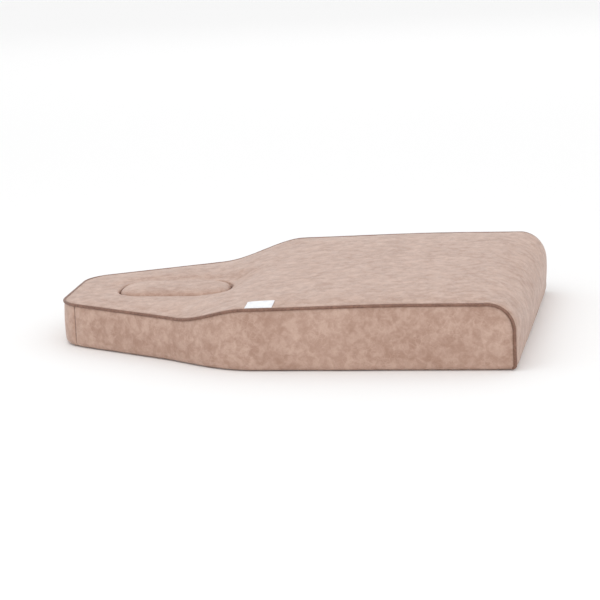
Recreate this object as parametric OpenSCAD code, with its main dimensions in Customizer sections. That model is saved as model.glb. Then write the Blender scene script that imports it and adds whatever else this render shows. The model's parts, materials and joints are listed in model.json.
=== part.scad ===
// Head section pad of a facial bed, with a face opening and its lift-out plug cushion.
// Frame: origin at the middle of the underside, +X from the head end to the hinge end,
// +Y to the left of a person lying face down, +Z up. The underside is flat.

/* [Overall size] */
// Length from the head end to the hinge end
pad_length = 745; // [700:5:790]
// Width of the back part, over the side panels
pad_width = 572; // [530:2:620]
// Thickness of the back part
back_height = 102; // [96:1:112]
// Thickness of the head part
head_height = 69; // [66:1:76]

/* [Plan shape] */
// Half the width at the head end, before its corners are rounded
tip_half_width = 99; // [90:1:115]
// How much the half width grows for each unit of length in the head part
side_slope = 0.57; // [0.45:0.01:0.6]
// Radius of the two corners of the head end
tip_corner_r = 62; // [45:1:75]
// Where the shoulders begin, from the head end
shoulder_start = 205; // [190:5:230]
// Where the shoulders reach the full width, from the head end
shoulder_end = 345; // [320:5:370]

/* [Top shape] */
// Where the top begins to rise, from the head end
rise_start = 210; // [200:5:225]
// Where the steep part of the rise ends, from the head end
rise_end = 335; // [310:5:360]
// Where the top levels out, from the head end
level_from = 600; // [520:10:640]
// Radius of the top's roll over the hinge end
end_roll_r = 40; // [34:1:46]

/* [Face opening] */
// Length of the face opening
opening_length = 184; // [160:2:190]
// Width of the face opening
opening_width = 114; // [100:2:120]
// Corner radius of the face opening
opening_corner_r = 48; // [35:1:50]
// Middle of the face opening, from the head end
opening_middle = 168; // [160:1:172]
// Gap all round the plug cushion
plug_gap = 2; // [1.5:0.1:3]
// Height of the plug cushion's underside
plug_floor = 22; // [18:1:26]
// How far the plug cushion's top stands above the head part
plug_proud = 1.5; // [0:0.5:3]

/* [Layers] */
// Thickness of the cover material
cover_t = 1.2; // [1:0.1:1.5]
// Thickness of the dust cover
dust_t = 0.6; // [0.5:0.1:0.8]
// Thickness of the plywood base board
board_t = 12; // [12:1:15]
// How far the board's edge stays inside the cover, which the edge foam fills
board_inset = 8; // [6:1:10]
// Thickness of the soft top layer of foam
comfort_t = 20; // [15:1:24]
// Thickness of the plug cushion's own board
plug_board_t = 9; // [6:1:10]
// Diameter of the piping
piping_d = 5; // [4:0.5:6]
// Width of the cover turned under the board
return_w = 42; // [38:1:48]

/* [Fasteners] */
// Spacing of the back bolts along the pad
bolt_spacing_x = 280; // [240:5:290]
// Spacing of the back bolts across the pad
bolt_spacing_y = 380; // [300:5:400]
// Middle of the back bolts, from the head end
bolt_middle = 530; // [520:5:540]
// Spacing of the two head bolts across the pad
head_bolt_spacing = 250; // [240:5:260]
// Place of the two head bolts, from the head end
head_bolt_at = 290; // [285:1:292]
// Distance between cover staples
staple_pitch = 38; // [32:1:60]

/* [Hidden] */
$fn = 48;

half_w = pad_width / 2;
// The piping's middle stands this far out from the panels, which shifts the pad's middle
piping_out = 1;
tip_x = (piping_out - pad_length) / 2;
hinge_x = (piping_out + pad_length) / 2;
opening_x = tip_x + opening_middle;
far = 2000;

// Heights of the stack, from the underside up
return_z = dust_t;
board_z = return_z + cover_t;
foam_z = board_z + board_t;
comfort_z = head_height - cover_t - comfort_t;

// The rise of the top: a steep step, then a long gentle crown
step_share = 0.79;
step_rise = (back_height - head_height) * step_share;
tail_rise = (back_height - head_height) * (1 - step_share);
tail_start = 260;

// Fasteners
tee_bore_r = 3;
tee_barrel_r = 3.9;
tee_flange_r = 9.5;
tee_flange_t = 1.2;
tee_height = 9;
tee_prong_n = 4;
access_r = 6;
staple_crown = 11;
staple_wire = 0.6;
cover_staple_leg = 9;
dust_staple_leg = 6;
return_staple_inset = 22;
liner_return_w = 26;
dust_inset = 14;
dust_staple_inset = 31;
dust_staple_pitch = 62;
dust_opening_margin = 12;

// The label and the plug's staples
label_size = [42, 30, 0.5];
label_at = 356;
label_gap = 0.4;
plug_return_w = 22;
plug_staple_pitch = 40;

// Sampling of the curves
corner_steps = 8;
shoulder_steps = 12;
rise_steps = 12;
tail_steps = 6;
roll_steps = 8;
piping_sides = 8;

function smooth(t) = let(c = min(max(t, 0), 1)) c * c * (3 - 2 * c);

// Height of the finished top at a distance from the head end
function top_z(s) =
  head_height
  + step_rise * smooth((s - rise_start) / (rise_end - rise_start))
  + tail_rise * smooth((s - tail_start) / (level_from - tail_start));
function top_slope(s) = (top_z(s + 0.5) - top_z(s - 0.5));

// Half the width of the plan at a distance from the head end
shoulder_w = tip_half_width + side_slope * shoulder_start;
shoulder_len = shoulder_end - shoulder_start;
shoulder_slope = side_slope * 1.3;
function shoulder(t) =
  (2 * t * t * t - 3 * t * t + 1) * shoulder_w
  + (t * t * t - 2 * t * t + t) * shoulder_len * shoulder_slope
  + (3 * t * t - 2 * t * t * t) * half_w;
function half_width(s) =
  s < shoulder_start ? tip_half_width + side_slope * s
  : s > shoulder_end ? half_w
  : shoulder((s - shoulder_start) / shoulder_len);
function width_slope(s) = half_width(s + 0.5) - half_width(s - 0.5);

// The round corner of the head end touches the end and the straight side
slope_len = sqrt(1 + side_slope * side_slope);
corner_y = tip_half_width + side_slope * tip_corner_r - tip_corner_r * slope_len;
side_from = tip_corner_r - tip_corner_r * side_slope / slope_len;
side_angle = atan(side_slope);

// Distances from the head end at which the long sides are sampled
side_stations = concat(
  [shoulder_start - 1],
  [for (i = [1:shoulder_steps]) shoulder_start + shoulder_len * i / shoulder_steps]
);

// A point on the left side, moved inwards, and the outward normal there
function side_normal(s) = let(d = width_slope(s), n = sqrt(1 + d * d)) [-d / n, 1 / n];
function side_point(s, inset) = [s, half_width(s)] - inset * side_normal(s);
function corner_normal(a) = [cos(a), sin(a)];
function corner_point(a, inset) =
  [tip_corner_r, corner_y] + (tip_corner_r - inset) * corner_normal(a);
function corner_angle(i) = 180 - (90 - side_angle) * i / corner_steps;

// Left half of the plan, from the head end round to the hinge end
function half_plan(inset) = concat(
  [for (i = [0:corner_steps]) corner_point(corner_angle(i), inset)],
  [for (s = side_stations) side_point(s, inset)],
  [[pad_length - inset, half_w - inset]]
);
function mirrored(points) = [for (i = [len(points) - 1:-1:0]) [points[i].x, -points[i].y]];
function plan_points(inset) = concat(half_plan(inset), mirrored(half_plan(inset)));

module plan(inset) {
  translate([tip_x, 0]) polygon(plan_points(inset));
}

module plan_slab(inset, z0, z1) {
  translate([0, 0, z0]) linear_extrude(z1 - z0) plan(inset);
}

// The top's outline seen from the side, moved inwards
rise_stations = concat(
  [for (i = [0:rise_steps]) rise_start + (rise_end - rise_start) * i / rise_steps],
  [for (i = [1:tail_steps]) rise_end + (level_from - rise_end) * i / tail_steps]
);
function top_point(s, inset) =
  let(d = top_slope(s), n = sqrt(1 + d * d)) [s + inset * d / n, top_z(s) - inset / n];
function roll_point(a, inset) =
  [pad_length - end_roll_r, back_height - end_roll_r]
  + (end_roll_r - inset) * [cos(a), sin(a)];
function top_curve(inset) = concat(
  [for (s = rise_stations) top_point(s, inset)],
  [for (i = [0:roll_steps]) roll_point(90 - 90 * i / roll_steps, inset)]
);
function side_view(inset, z0) = concat(
  [[-10, z0], [-10, head_height - inset]],
  top_curve(inset),
  [[pad_length - inset, z0]]
);

// Everything under the top's outline, right across the pad
module under_top(inset, z0) {
  translate([tip_x, half_w + 10, 0])
    rotate([90, 0, 0])
      linear_extrude(pad_width + 20) polygon(side_view(inset, z0));
}

// A rectangle with round corners, in exact arcs
module round_slot(length, width, r) {
  square([length - 2 * r, width], center = true);
  square([length, width - 2 * r], center = true);
  for (x = [-1, 1], y = [-1, 1])
    translate([x * (length / 2 - r), y * (width / 2 - r)]) circle(r);
}

// The face opening's outline, grown all round
module opening(grow, z0, z1) {
  translate([opening_x, 0, z0])
    linear_extrude(z1 - z0)
      round_slot(opening_length + 2 * grow, opening_width + 2 * grow, opening_corner_r + grow);
}

module opening_through(grow) {
  opening(grow, -5, back_height + 5);
}

bolt_places = concat(
  [for (x = [-1, 1], y = [-1, 1])
    [tip_x + bolt_middle + x * bolt_spacing_x / 2, y * bolt_spacing_y / 2]],
  [for (y = [-1, 1]) [tip_x + head_bolt_at, y * head_bolt_spacing / 2]]
);

module at_bolts() {
  for (p = bolt_places) translate([p.x, p.y, 0]) children();
}

module base_board() {
  color("burlywood") difference() {
    plan_slab(board_inset, board_z, foam_z);
    opening_through(cover_t);
    at_bolts() translate([0, 0, board_z - 1]) cylinder(r = tee_barrel_r, h = board_t + 2);
  }
}

// Soft edging glued round the board, so that the cover turns over foam and not over wood
module edge_foam_strip() {
  color("cornsilk") difference() {
    plan_slab(cover_t, board_z, foam_z);
    plan_slab(board_inset, board_z - 1, foam_z + 1);
  }
}

module foam_base() {
  color("khaki") difference() {
    plan_slab(cover_t, foam_z, comfort_z);
    opening_through(cover_t);
    translate([hinge_x - cover_t - comfort_t, -far / 2, foam_z - 1]) cube([far, far, far]);
  }
}

// Builds the back part up, under the soft layer
module foam_riser() {
  color("palegoldenrod") difference() {
    intersection() {
      plan_slab(cover_t, comfort_z, back_height);
      under_top(cover_t + comfort_t, comfort_z);
    }
    opening_through(cover_t);
  }
}

module foam_comfort_layer() {
  color("lemonchiffon") difference() {
    intersection() {
      plan_slab(cover_t, foam_z, back_height);
      under_top(cover_t, foam_z);
    }
    under_top(cover_t + comfort_t, foam_z - 1);
    opening_through(cover_t);
  }
}

// Where the cover is turned under the hinge end, and the two sides' turned edges stop
module end_zone() {
  translate([hinge_x - return_w, -half_w - 20]) square([return_w + 20, pad_width + 40]);
}

// Covers the top, rolls over the hinge end and turns under the board
module top_panel() {
  color("rosybrown") {
    difference() {
      intersection() {
        plan_slab(0, return_z, back_height);
        under_top(0, return_z);
      }
      under_top(cover_t, return_z - 1);
      opening_through(0);
    }
    translate([0, 0, return_z]) linear_extrude(cover_t) intersection() {
      plan(cover_t);
      end_zone();
    }
  }
}

// The part of the plan that the strip round the head end covers, between its two seams
corner_seam_s = 26;
seam_point = corner_point(acos(corner_seam_s / tip_corner_r - 1), 0);
module head_zone() {
  translate([tip_x, 0]) polygon([
    [-20, -seam_point.y - 20], [seam_point.x, -seam_point.y],
    [seam_point.x + return_w, -seam_point.y + return_w],
    [seam_point.x + return_w, seam_point.y - return_w],
    [seam_point.x, seam_point.y], [-20, seam_point.y + 20]
  ]);
}

// The cover's edge in plan, and the margin that is turned under the board
module wall_strip() {
  difference() {
    plan(0);
    plan(cover_t);
  }
}

module turned_strip() {
  difference() {
    plan(0);
    plan(return_w);
  }
}

// One boxing panel: an upright wall with its turned edge, cut to its zone by the children
module boxing() {
  intersection() {
    translate([0, 0, return_z]) linear_extrude(back_height) intersection() {
      wall_strip();
      children();
    }
    under_top(cover_t, return_z);
  }
  translate([0, 0, return_z]) linear_extrude(cover_t) intersection() {
    turned_strip();
    children();
  }
}

module side_zone(side) {
  difference() {
    translate([tip_x, side > 0 ? 0 : -far]) square([pad_length - return_w, far]);
    head_zone();
  }
  translate([hinge_x - return_w, side > 0 ? half_w - cover_t : -half_w])
    square([return_w - cover_t, cover_t]);
}

module side_panel_left() {
  color("tan") boxing() side_zone(1);
}

module side_panel_right() {
  color("tan") boxing() side_zone(-1);
}

module head_end_panel() {
  color("tan") boxing() head_zone();
}

// Sleeve of cover material through the face opening, turned under the board
module opening_liner() {
  color("peru") difference() {
    union() {
      intersection() {
        opening(cover_t, return_z, back_height);
        under_top(cover_t, return_z);
      }
      opening(liner_return_w, return_z, board_z);
    }
    opening_through(0);
  }
}

// Path of the piping: up one corner of the hinge end, round the seam and down the other
piping_r = piping_d / 2;
piping_foot = board_z + piping_r;
end_stations = concat(
  [for (i = [1:5]) shoulder_end + (level_from - shoulder_end) * i / 5],
  [pad_length - end_roll_r - 1]
);
side_run = concat(
  [side_from + 2, (side_from + shoulder_start) / 2], side_stations, end_stations
);
function on_seam(s, y, z, n) =
  [[tip_x + s + piping_out * n.x, y + piping_out * n.y, z], [n.x, n.y, 0]];
half_path = concat(
  [for (i = [0:corner_steps]) let(a = corner_angle(i), p = corner_point(a, 0))
    on_seam(p.x, p.y, head_height, corner_normal(a))],
  [for (s = side_run) on_seam(s, half_width(s), top_z(s), side_normal(s))],
  [for (i = [1:roll_steps]) let(p = roll_point(90 - 90 * i / roll_steps, 0))
    on_seam(p.x, half_w, p.y, [0, 1])],
  [on_seam(pad_length, half_w, piping_foot, [0, 1])]
);
piping_path = concat(
  [for (i = [len(half_path) - 1:-1:0]) let(q = half_path[i])
    [[q[0].x, -q[0].y, q[0].z], [q[1].x, -q[1].y, 0]]],
  half_path
);

function unit(v) = v / norm(v);

// Round tube along points that each carry a normal
module swept_tube(path, r) {
  last = len(path) - 1;
  points = [for (i = [0:last])
    let(
      along = unit(path[min(i + 1, last)][0] - path[max(i - 1, 0)][0]),
      across = unit(path[i][1] - (path[i][1] * along) * along),
      up = cross(along, across)
    )
    for (k = [0:piping_sides - 1])
      let(a = 360 * k / piping_sides) path[i][0] + r * (cos(a) * across + sin(a) * up)];
  faces = concat(
    [[for (k = [0:piping_sides - 1]) k]],
    [[for (k = [piping_sides - 1:-1:0]) last * piping_sides + k]],
    [for (i = [0:last - 1], k = [0:piping_sides - 1])
      let(a = i * piping_sides, b = a + piping_sides, m = (k + 1) % piping_sides)
      for (f = [[a + k, b + k, b + m], [a + k, b + m, a + m]]) f]
  );
  polyhedron(points, faces);
}

module seam_piping() {
  color("saddlebrown") swept_tube(piping_path, piping_r);
}

module dust_cover() {
  color("dimgray") linear_extrude(dust_t) difference() {
    plan(dust_inset);
    translate([opening_x, 0])
      round_slot(
        opening_length + 2 * dust_opening_margin,
        opening_width + 2 * dust_opening_margin,
        opening_corner_r + dust_opening_margin
      );
    for (p = bolt_places) translate(p) circle(access_r);
  }
}

// A staple driven upwards, its crown across the line that it holds
module staple(leg) {
  translate([0, -staple_crown / 2, 0]) cube([staple_wire, staple_crown, staple_wire]);
  for (y = [-1, 1])
    translate([0, y * (staple_crown - staple_wire) / 2 - staple_wire / 2, 0])
      cube([staple_wire, staple_wire, leg]);
}

// Lengths along a closed line of points, up to each of them
function steps(p) = [for (i = [0:len(p) - 1]) norm(p[(i + 1) % len(p)] - p[i])];
function sums(v, i = 0, t = 0) =
  i >= len(v) ? [t] : concat([t], sums(v, i + 1, t + v[i]));
function index_at(total, d, i = 0) = total[i + 1] >= d ? i : index_at(total, d, i + 1);

// Staples along a closed line, evenly spaced
module staples_along(line, pitch, leg, z) {
  total = sums(steps(line));
  around = total[len(line)];
  n = floor(around / pitch);
  for (j = [0:n - 1]) {
    d = (j + 0.5) * around / n;
    i = index_at(total, d);
    a = line[i];
    b = line[(i + 1) % len(line)];
    p = a + (b - a) * (d - total[i]) / (total[i + 1] - total[i]);
    translate([tip_x + p.x, p.y, z])
      rotate([0, 0, atan2(b.y - a.y, b.x - a.x) + 90]) staple(leg);
  }
}

// A closed line of points round the face opening, measured like the plan
function slot_line(length, width, r, middle) = [
  for (q = [[1, 1, 0], [-1, 1, 90], [-1, -1, 180], [1, -1, 270]], i = [0:4])
    let(a = q[2] + 90 * i / 4)
    [middle + q.x * (length / 2 - r) + r * cos(a), q.y * (width / 2 - r) + r * sin(a)]
];
function round_opening(grow) = slot_line(
  opening_length + 2 * grow, opening_width + 2 * grow, opening_corner_r + grow, opening_middle
);

// Hold the turned cover and the liner to the board
module cover_staples() {
  color("silver") {
    staples_along(plan_points(return_staple_inset), staple_pitch, cover_staple_leg, return_z);
    staples_along(round_opening(6), staple_pitch, cover_staple_leg, return_z);
  }
}

// Hold the dust cover to the board
module dust_cover_staples() {
  color("gainsboro") {
    staples_along(plan_points(dust_staple_inset), dust_staple_pitch, dust_staple_leg, 0);
    staples_along(round_opening(18), dust_staple_pitch, dust_staple_leg, 0);
  }
}

// Threaded insert: flange flush with the board's top, barrel down, prongs in the wood
module tee_nut() {
  difference() {
    union() {
      translate([0, 0, foam_z - tee_flange_t]) cylinder(r = tee_flange_r, h = tee_flange_t);
      translate([0, 0, foam_z - tee_height]) cylinder(r = tee_barrel_r, h = tee_height);
      for (k = [0:tee_prong_n - 1])
        rotate([0, 0, 45 + 360 / tee_prong_n * k])
          translate([tee_flange_r - 1.6, -1.5, foam_z - tee_height + 1])
            cube([1.2, 3, tee_height - 1]);
    }
    translate([0, 0, foam_z - tee_height - 1]) cylinder(r = tee_bore_r, h = tee_height + 2);
  }
}

module tee_nuts() {
  color("silver") at_bolts() tee_nut();
}

// Blank label on the top, beside the right-hand seam
module blank_label() {
  slope = atan(top_slope(label_at));
  color("white")
    translate([tip_x + label_at, -half_width(label_at) + piping_d, top_z(label_at) + label_gap])
      rotate([0, -slope, 0])
        translate([-label_size.x / 2, 0, 0]) cube(label_size);
}

// Heights of the plug cushion's stack
plug_return_z = plug_floor + dust_t;
plug_board_z = plug_return_z + cover_t;
plug_foam_z = plug_board_z + plug_board_t;
plug_top_z = head_height + plug_proud;

module plug_slab(inset, z0, z1) {
  opening(-plug_gap - inset, z0, z1);
}

module plug_top_panel() {
  color("rosybrown") plug_slab(0, plug_top_z - cover_t, plug_top_z);
}

// Band round the plug cushion, turned under its board
module plug_side_band() {
  color("tan") difference() {
    plug_slab(0, plug_return_z, plug_top_z - cover_t);
    plug_slab(cover_t, plug_board_z, plug_top_z);
    plug_slab(plug_return_w, plug_floor - 1, plug_board_z + 1);
  }
}

module plug_foam() {
  color("khaki") plug_slab(cover_t, plug_foam_z, plug_top_z - cover_t);
}

module plug_board() {
  color("burlywood") plug_slab(cover_t, plug_board_z, plug_foam_z);
}

module plug_bottom_cover() {
  color("dimgray") plug_slab(8, plug_floor, plug_return_z);
}

module plug_staples() {
  color("silver")
    staples_along(round_opening(-plug_gap - 14), plug_staple_pitch, dust_staple_leg, plug_floor);
}

base_board();
edge_foam_strip();
foam_base();
foam_riser();
foam_comfort_layer();
top_panel();
side_panel_left();
side_panel_right();
head_end_panel();
opening_liner();
seam_piping();
dust_cover();
cover_staples();
dust_cover_staples();
tee_nuts();
blank_label();
plug_top_panel();
plug_side_band();
plug_foam();
plug_board();
plug_bottom_cover();
plug_staples();
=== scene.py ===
# Head section pad of a facial bed: the looks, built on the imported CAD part. Lengths in this script are
# millimetres until a mesh is made; s is the distance from the head end, y to the left, z up.
import json
import math

import bpy
import numpy as np
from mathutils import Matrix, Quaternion, Vector
from mathutils.kdtree import KDTree

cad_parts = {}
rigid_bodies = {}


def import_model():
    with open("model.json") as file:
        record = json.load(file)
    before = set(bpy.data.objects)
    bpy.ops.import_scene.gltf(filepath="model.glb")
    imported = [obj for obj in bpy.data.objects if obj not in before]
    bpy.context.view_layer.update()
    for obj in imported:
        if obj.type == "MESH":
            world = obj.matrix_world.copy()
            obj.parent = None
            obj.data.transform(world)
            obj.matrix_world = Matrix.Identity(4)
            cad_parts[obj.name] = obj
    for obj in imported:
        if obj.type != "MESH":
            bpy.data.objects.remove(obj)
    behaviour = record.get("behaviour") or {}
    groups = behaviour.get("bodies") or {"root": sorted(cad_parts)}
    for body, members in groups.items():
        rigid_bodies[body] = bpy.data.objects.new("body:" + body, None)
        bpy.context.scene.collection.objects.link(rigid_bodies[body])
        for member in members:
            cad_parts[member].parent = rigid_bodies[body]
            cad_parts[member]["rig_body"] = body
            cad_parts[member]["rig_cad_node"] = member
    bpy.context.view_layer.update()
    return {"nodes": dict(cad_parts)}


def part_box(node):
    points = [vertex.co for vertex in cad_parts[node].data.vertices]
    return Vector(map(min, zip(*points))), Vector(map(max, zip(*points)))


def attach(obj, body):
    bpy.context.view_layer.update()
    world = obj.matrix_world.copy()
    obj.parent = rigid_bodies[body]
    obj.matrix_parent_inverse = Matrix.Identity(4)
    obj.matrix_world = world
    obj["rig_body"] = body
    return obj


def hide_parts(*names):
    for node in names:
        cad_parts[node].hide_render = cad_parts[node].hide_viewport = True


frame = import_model()


def box_mm(node):
    lo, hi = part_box(node)
    return np.array(lo) * 1000, np.array(hi) * 1000


# ---------------------------------------------------------------- sizes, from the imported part
COVER_T, DUST_T, BOTTOM_R = 1.2, 0.6, 9.0
top_lo, top_hi = box_mm("top_panel")
TIP_X, HINGE_X, HALF_W, BACK_H = top_lo[0], top_hi[0], top_hi[1], top_hi[2]
LENGTH = HINGE_X - TIP_X
HEAD_H = box_mm("head_end_panel")[1][2] + COVER_T
PIPE_R, PIPE_OUT = 2.5, 1.0       # the piping's radius, and how far its middle stands out of the outline
plug_lo, plug_hi = box_mm("plug_top_panel")
PLUG_GAP, OPEN_R = 2.0, 48.0
PLUG_L, PLUG_W = plug_hi[0] - plug_lo[0], plug_hi[1] - plug_lo[1]
OPEN_L, OPEN_W = PLUG_L + 2 * PLUG_GAP, PLUG_W + 2 * PLUG_GAP
OPEN_S = (plug_hi[0] + plug_lo[0]) / 2 - TIP_X
PLUG_TOP = plug_hi[2]
PLUG_FLOOR = box_mm("plug_bottom_cover")[0][2]

# The plan and the top's rise, by the same formulas as the part's own
TIP_HALF, SLOPE, CORNER_R = 99.0, 0.57, 62.0
SHOULDER_0, SHOULDER_1 = 205.0, 345.0
RISE_0, RISE_1, TAIL_0, LEVEL = 210.0, 335.0, 260.0, 600.0
STEP_SHARE, ROLL_R, RETURN_W, CORNER_SEAM = 0.79, 40.0, 42.0, 26.0
ROLL_S = LENGTH - ROLL_R
DIP_FROM, DIP_MOST, DIP_REACH = 1.5, 9.0, 60.0    # the top's rise that is drawn down beside the opening
SHEET_T = 0.0003                                  # the non-woven cloth's thickness, in metres


def smooth(t):
    """A soft step from 0 to 1 as t goes from 0 to 1."""
    c = np.clip(t, 0, 1)
    return c * c * (3 - 2 * c)


def top_z(s):
    """Height of the top panel's outer face, before the hinge end's roll."""
    rise = BACK_H - HEAD_H
    return (HEAD_H + rise * STEP_SHARE * smooth((s - RISE_0) / (RISE_1 - RISE_0))
            + rise * (1 - STEP_SHARE) * smooth((s - TAIL_0) / (LEVEL - TAIL_0)))


SLOPE_LEN = math.hypot(1, SLOPE)
CORNER_Y = TIP_HALF + SLOPE * CORNER_R - CORNER_R * SLOPE_LEN
SIDE_FROM = CORNER_R - CORNER_R * SLOPE / SLOPE_LEN


def half_width(s):
    """Half the pad's width: round corner, straight slope, shoulder, straight side."""
    s = np.asarray(s, float)
    w0 = TIP_HALF + SLOPE * SHOULDER_0
    length = SHOULDER_1 - SHOULDER_0
    t = np.clip((s - SHOULDER_0) / length, 0, 1)
    hermite = ((2 * t**3 - 3 * t**2 + 1) * w0 + (t**3 - 2 * t**2 + t) * length * SLOPE * 1.3
               + (3 * t**2 - 2 * t**3) * HALF_W)
    arc = CORNER_Y + np.sqrt(np.clip(CORNER_R**2 - (CORNER_R - s) ** 2, 0, None))
    out = np.where(s < SHOULDER_0, TIP_HALF + SLOPE * s, hermite)
    return np.where(s < SIDE_FROM, arc, out)


def half_outline(inset=0.0):
    """Left half of the plan's outline from the middle of the head end, and its outward normals."""
    a = np.radians(np.linspace(180, 90 + math.degrees(math.atan(SLOPE)), 40))
    pts = [np.column_stack([np.zeros(20), np.linspace(0, CORNER_Y, 21)[:-1]]),
           np.column_stack([CORNER_R + CORNER_R * np.cos(a), CORNER_Y + CORNER_R * np.sin(a)])]
    s = np.concatenate([np.arange(SIDE_FROM + 2, SHOULDER_1, 2.5), np.arange(SHOULDER_1, LENGTH - 1, 5),
                        [LENGTH]])
    pts.append(np.column_stack([s, half_width(s)]))
    p = np.vstack(pts)
    d = np.gradient(p, axis=0)
    n = np.column_stack([-d[:, 1], d[:, 0]])
    n[0] = n[1] = (-1, 0)
    n /= np.linalg.norm(n, axis=1)[:, None]
    return p - inset * n, n


outline_p, outline_n = half_outline()
outline_u = np.concatenate([[0], np.cumsum(np.linalg.norm(np.diff(outline_p, axis=0), axis=1))])


def seam_line(end=1200.0):
    """The whole seam in plan, both sides, with the back part's sides drawn on past the hinge end."""
    left = np.vstack([outline_p, [end, HALF_W]])
    right = left[1:][::-1] * (1, -1)
    return np.vstack([right, left])


def line_distance(p, line):
    """Distance of each point p from a line of straight pieces."""
    best = np.full(len(p), 1e9)
    for a, b in zip(line[:-1], line[1:]):
        d = b - a
        t = np.clip(((p - a) @ d) / max(d @ d, 1e-12), 0, 1)
        q = p - a - t[:, None] * d
        best = np.minimum(best, np.hypot(q[:, 0], q[:, 1]))
    return best


def slot_distance(s, y, grow=0.0):
    """Distance outside the face opening's outline, grown all round; less than 0 inside."""
    r = OPEN_R + grow
    qx = np.abs(s - OPEN_S) - (OPEN_L / 2 + grow - r)
    qy = np.abs(y) - (OPEN_W / 2 + grow - r)
    return np.hypot(np.maximum(qx, 0), np.maximum(qy, 0)) + np.minimum(np.maximum(qx, qy), 0) - r


def dip(s, y):
    """How far the top is drawn down beside the opening, where the rise would stand over the plug."""
    return np.clip(top_z(s) - HEAD_H - DIP_FROM, 0, DIP_MOST) * (1 - smooth(slot_distance(s, y) / DIP_REACH))


def placed(p, z):
    """Plan points (s, y) at a height, or at one height each."""
    return np.column_stack([TIP_X + p[:, 0], p[:, 1], np.broadcast_to(z, len(p))])


def noise(p, size, seed=0):
    """Smooth noise from -1 to 1 at points p (n, 2 or 3), one cell per size millimetres."""
    q = np.atleast_2d(p) / size
    if q.shape[1] == 2:
        q = np.column_stack([q, np.full(len(q), 0.37)])
    i = np.floor(q).astype(np.int64)
    f = q - i
    f = f * f * (3 - 2 * f)
    total = np.zeros(len(q))
    for c in range(8):
        o = np.array([c & 1, (c >> 1) & 1, (c >> 2) & 1])
        k = i + o
        h = (k[:, 0] * 374761393 + k[:, 1] * 668265263 + k[:, 2] * 1442695041 + seed * 974634777) & 0xFFFFFFFF
        h = ((h ^ (h >> 13)) * 1274126177) & 0xFFFFFFFF
        v = ((h ^ (h >> 16)) & 0xFFFF) / 32767.5 - 1
        total += v * np.prod(np.where(o == 1, f, 1 - f), axis=1)
    return total


# ---------------------------------------------------------------- mesh helpers
def make(name, verts, faces, material=None, outward=None):
    """A mesh object from points in millimetres. outward(centres) gives the way its faces look."""
    me = bpy.data.meshes.new(name)
    me.from_pydata((np.asarray(verts, float) / 1000).tolist(), [], [tuple(int(i) for i in f) for f in faces])
    me.update()
    if outward is not None:
        if np.sum(read(me.polygons, "normal") * outward(read(me.polygons, "center") * 1000)) < 0:
            me.flip_normals()
    me.polygons.foreach_set("use_smooth", np.ones(len(me.polygons), bool))
    ob = bpy.data.objects.new(name, me)
    bpy.context.scene.collection.objects.link(ob)
    if material is not None:
        me.materials.append(material)
    return ob


def facing(z):
    """Straight up (1) or down (-1), for make()."""
    return lambda c: np.tile((0.0, 0.0, z), (len(c), 1))


def down_under(level):
    """Down for the faces below a level and nothing for the others, for make()."""
    return lambda c: np.column_stack([np.zeros((len(c), 2)), np.where(c[:, 2] < level, -1.0, 0.0)])


def grid_faces(rows, cols, wrap=False):
    """Quads between rows of points; wrap joins each row's last point to its first."""
    f = []
    for i in range(rows - 1):
        for j in range(cols if wrap else cols - 1):
            k = (j + 1) % cols
            a, b = i * cols + j, i * cols + k
            f.append((a, b, b + cols, a + cols))
    return f


def read(items, field, width=3):
    """A field of every vertex or face, as an array of rows."""
    out = np.zeros(len(items) * width)
    items.foreach_get(field, out)
    return out.reshape(-1, width)


def skin(ob, thickness=COVER_T):
    """One subdivision, then the material's thickness inwards."""
    m = ob.modifiers.new("subdivision", "SUBSURF")
    m.levels = m.render_levels = 1
    m.boundary_smooth = "PRESERVE_CORNERS"
    m = ob.modifiers.new("thickness", "SOLIDIFY")
    m.thickness = thickness / 1000
    m.offset = -1
    m.use_even_offset = False
    return ob


def finish_piece(ob, body, replaced):
    """Puts the piece on the body that carries it and hides the CAD nodes that it stands for."""
    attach(ob, body)
    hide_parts(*replaced)
    return ob


EDGE_OFFSETS = np.array([0, 0.7, 1.5, 2.5, 3.8, 5.5, 7.5, 10, 13.5, 18, 24, 31])


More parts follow.
